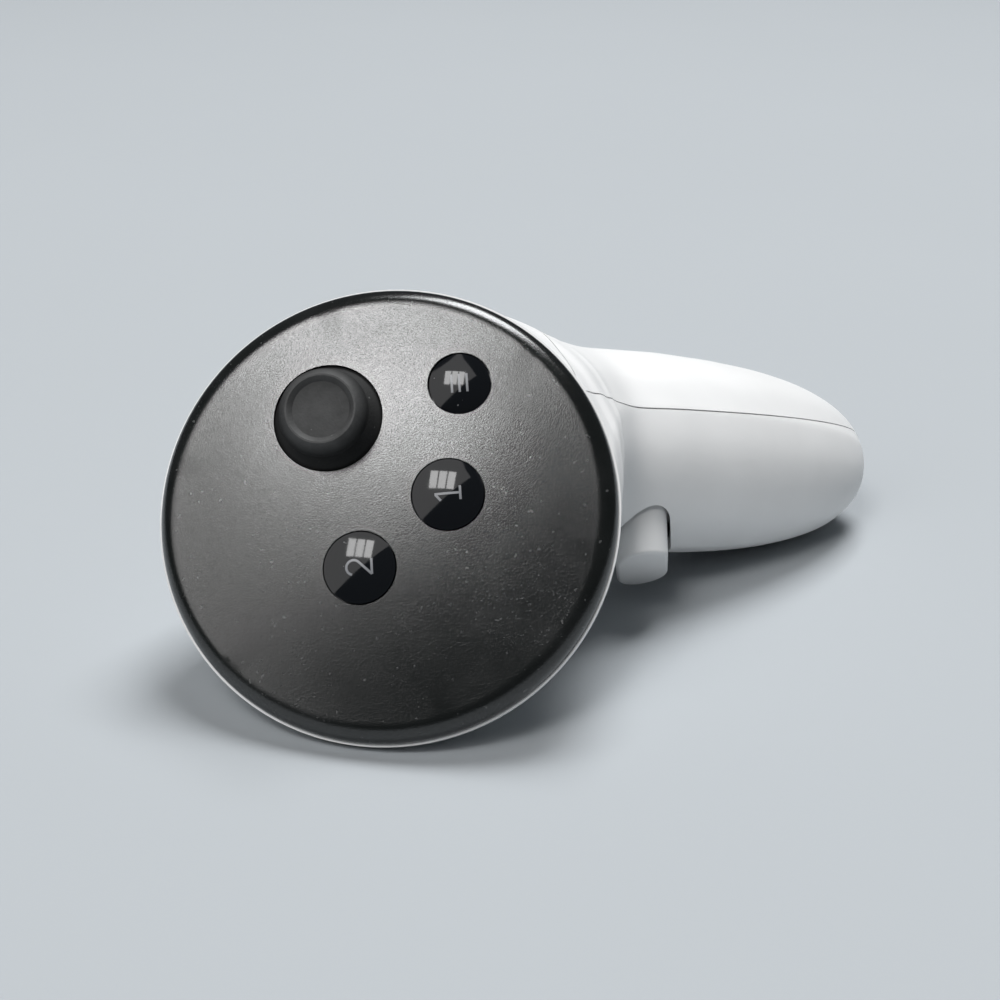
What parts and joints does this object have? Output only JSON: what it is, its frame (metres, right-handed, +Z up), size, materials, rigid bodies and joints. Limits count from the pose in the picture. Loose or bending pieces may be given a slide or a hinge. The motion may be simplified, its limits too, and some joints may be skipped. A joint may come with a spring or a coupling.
{
  "type": "motion controller wand",
  "caption": "Handheld motion controller: round face with thumbstick and buttons, finger trigger, grip button and battery cover on an angled handle.",
  "frame": {"origin": "on the table under the middle of the wand's bounding box, as it lies at rest", "axes": "+Z up from the table, +X along the wand's length towards the handle's end"},
  "size_m": [0.1312, 0.0704, 0.0545],
  "materials": {
    "white_shell": "fine satin",
    "black_face": "fine grain",
    "gloss_black": "gloss",
    "stick_rubber": "matte",
    "inner_grey": "matte",
    "bright_steel": "plain",
    "sensor_black": "matte",
    "silicone": "matte",
    "board": "lacquered",
    "emitter": "clear dark",
    "screw_steel": "plain",
    "cell_sleeve": "printed sleeve, left plain"
  },
  "bodies": {
    "housing": {"main_housing": "white_shell", "faceplate": "black_face", "stick_base": "bright_steel", "stick_sensor_right": "sensor_black", "stick_sensor_rear": "sensor_black", "stick_click_switch": "sensor_black", "tact_switches": "bright_steel", "button_mat": "silicone", "main_board": "board", "light_ring_board": "board", "trigger_sensor_board": "board", "grip_sensor_board": "board", "tracking_lights": "emitter", "inner_frame": "inner_grey", "battery_cradle": "inner_grey", "face_screws": "screw_steel", "tray_screws": "screw_steel", "trigger_pin": "screw_steel", "grip_pin": "screw_steel", "trigger_spring": "screw_steel", "grip_spring": "screw_steel", "contact_spring": "screw_steel", "contact_plate": "bright_steel", "haptic_motor": "bright_steel", "battery_cell": "cell_sleeve"},
    "cover": {"battery_cover": "white_shell"},
    "trigger": {"trigger": "white_shell", "trigger_magnet": "bright_steel"},
    "grip": {"grip_button": "white_shell", "grip_magnet": "bright_steel"},
    "button_a": {"button_a": "gloss_black"},
    "button_b": {"button_b": "gloss_black"},
    "menu_button": {"menu_button": "gloss_black"},
    "stick_cradle": {"stick_cradle": "inner_grey"},
    "stick_stem": {"stick_stem": "inner_grey"},
    "stick_cap": {"stick_cap": "stick_rubber"},
    "stick_arch": {"stick_arch": "inner_grey"}
  },
  "joints": [
    {"name": "trigger_pull", "type": "hinge", "parent": "housing", "child": "trigger", "pos_m": [-0.04328, 0.01408, 0.02193], "axis": [-0.239, -0.581, -0.778], "range_deg": [0, 16], "stiffness_Nm_per_rad": 0.15, "springref_deg": -6.88},
    {"name": "grip_squeeze", "type": "hinge", "parent": "housing", "child": "grip", "pos_m": [0.01665, 0.00252, 0.01087], "axis": [-0.8327, 0.5347, -0.1435], "range_deg": [0, 7], "stiffness_Nm_per_rad": 0.12, "springref_deg": -6.88},
    {"name": "button_a_press", "type": "slide", "parent": "housing", "child": "button_a", "axis": [0.4994, 0.6136, -0.6116], "range_m": [0, 0.0009], "stiffness_N_per_m": 1500, "springref_m": -0.0005},
    {"name": "button_b_press", "type": "slide", "parent": "housing", "child": "button_b", "axis": [0.4994, 0.6136, -0.6116], "range_m": [0, 0.0009], "stiffness_N_per_m": 1500, "springref_m": -0.0005},
    {"name": "menu_press", "type": "slide", "parent": "housing", "child": "menu_button", "axis": [0.4994, 0.6136, -0.6116], "range_m": [0, 0.0009], "stiffness_N_per_m": 1500, "springref_m": -0.0005},
    {"name": "stick_tilt_side", "type": "hinge", "parent": "housing", "child": "stick_cradle", "pos_m": [-0.03633, 0.00685, 0.03343], "axis": [-0.8327, 0.5347, -0.1435], "range_deg": [-14, 14], "stiffness_Nm_per_rad": 0.02},
    {"name": "stick_tilt_ahead", "type": "hinge", "parent": "stick_cradle", "child": "stick_stem", "pos_m": [-0.03633, 0.00685, 0.03343], "axis": [0.239, 0.581, 0.778], "range_deg": [-14, 14], "stiffness_Nm_per_rad": 0.02},
    {"name": "stick_click", "type": "slide", "parent": "stick_stem", "child": "stick_cap", "axis": [0.4994, 0.6136, -0.6116], "range_m": [0, 0.0004], "stiffness_N_per_m": 3000, "springref_m": -0.0003},
    {"name": "stick_arch_follow", "type": "hinge", "parent": "housing", "child": "stick_arch", "pos_m": [-0.03633, 0.00685, 0.03343], "axis": [0.239, 0.581, 0.778], "range_deg": [-14, 14]},
    {"name": "cover_slide", "type": "slide", "parent": "housing", "child": "cover", "axis": [0.9711, 0.0183, -0.238], "range_m": [0, 0.088]}
  ],
  "couplings": [
    {"joint": "stick_arch_follow", "follows": "stick_tilt_ahead", "ratio": 1}
  ]
}
